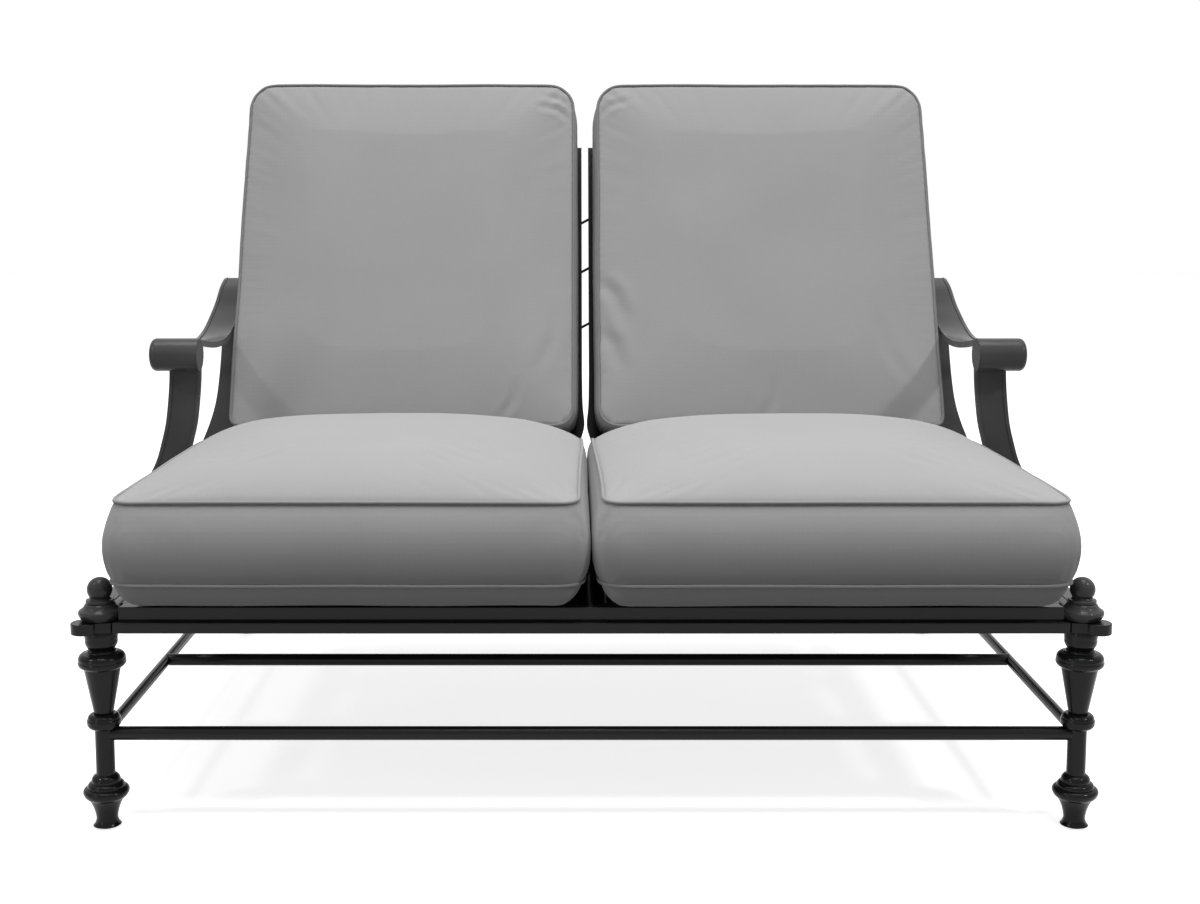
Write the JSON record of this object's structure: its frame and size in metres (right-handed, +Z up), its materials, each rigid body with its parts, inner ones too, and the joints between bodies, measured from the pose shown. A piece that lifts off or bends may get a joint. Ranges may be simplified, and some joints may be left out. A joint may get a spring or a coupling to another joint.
{
  "type": "patio loveseat",
  "caption": "Painted metal garden loveseat with turned front legs, scroll-end arms, a leaning lattice back and loose piped box cushions.",
  "frame": {"origin": "on the floor under the middle of the whole loveseat", "axes": "+X to the right seen from the front, +Y to the back, +Z up"},
  "size_m": [1.4204, 1.025, 1.0596],
  "materials": {
    "frame_metal": "painted satin",
    "seat_fabric": "woven",
    "back_fabric": "woven",
    "glide": "matte",
    "fastener": "blackened"
  },
  "bodies": {
    "frame": {"arm_band_left": "frame_metal", "arm_band_right": "frame_metal", "arm_foot_screws": "fastener", "arm_roll_left": "frame_metal", "arm_roll_right": "frame_metal", "arm_support_left": "frame_metal", "arm_support_right": "frame_metal", "back_bottom_rail": "frame_metal", "back_lattice_front_left": "frame_metal", "back_lattice_front_right": "frame_metal", "back_lattice_rear_left": "frame_metal", "back_lattice_rear_right": "frame_metal", "back_link_rods": "frame_metal", "back_stile_inner_left": "frame_metal", "back_stile_inner_right": "frame_metal", "back_stile_outer_left": "frame_metal", "back_stile_outer_right": "frame_metal", "back_top_rail_left": "frame_metal", "back_top_rail_right": "frame_metal", "base_rail_front": "frame_metal", "base_rail_left": "frame_metal", "base_rail_rear": "frame_metal", "base_rail_right": "frame_metal", "center_beam": "frame_metal", "corner_plate_front_left": "frame_metal", "corner_plate_front_right": "frame_metal", "corner_plate_rear_left": "frame_metal", "corner_plate_rear_right": "frame_metal", "cross_stretcher": "frame_metal", "deck_strap_front": "frame_metal", "deck_strap_rear": "frame_metal", "finial_left": "frame_metal", "finial_right": "frame_metal", "foot_glides": "glide", "frame_screws": "fastener", "front_leg_left": "frame_metal", "front_leg_right": "frame_metal", "front_stretcher": "frame_metal", "leg_studs": "fastener", "rear_leg_left": "frame_metal", "rear_leg_right": "frame_metal", "seat_frame_front": "frame_metal", "seat_frame_left": "frame_metal", "seat_frame_rear": "frame_metal", "seat_frame_right": "frame_metal", "seat_slats_left": "frame_metal", "seat_slats_right": "frame_metal", "side_stretcher_left": "frame_metal", "side_stretcher_right": "frame_metal"},
    "seat_pad_left": {"seat_cushion_left": "seat_fabric"},
    "back_pad_left": {"back_cushion_left": "back_fabric"},
    "seat_pad_right": {"seat_cushion_right": "seat_fabric"},
    "back_pad_right": {"back_cushion_right": "back_fabric"}
  },
  "joints": [
    {"name": "seat_pad_out_left", "type": "slide", "parent": "frame", "child": "seat_pad_left", "axis": [0, -1, 0], "range_m": [0, 0.18]},
    {"name": "back_pad_lift_left", "type": "slide", "parent": "frame", "child": "back_pad_left", "axis": [0, 0.3907, 0.9205], "range_m": [0, 0.2]},
    {"name": "seat_pad_out_right", "type": "slide", "parent": "frame", "child": "seat_pad_right", "axis": [0, -1, 0], "range_m": [0, 0.18]},
    {"name": "back_pad_lift_right", "type": "slide", "parent": "frame", "child": "back_pad_right", "axis": [0, 0.3907, 0.9205], "range_m": [0, 0.2]}
  ]
}
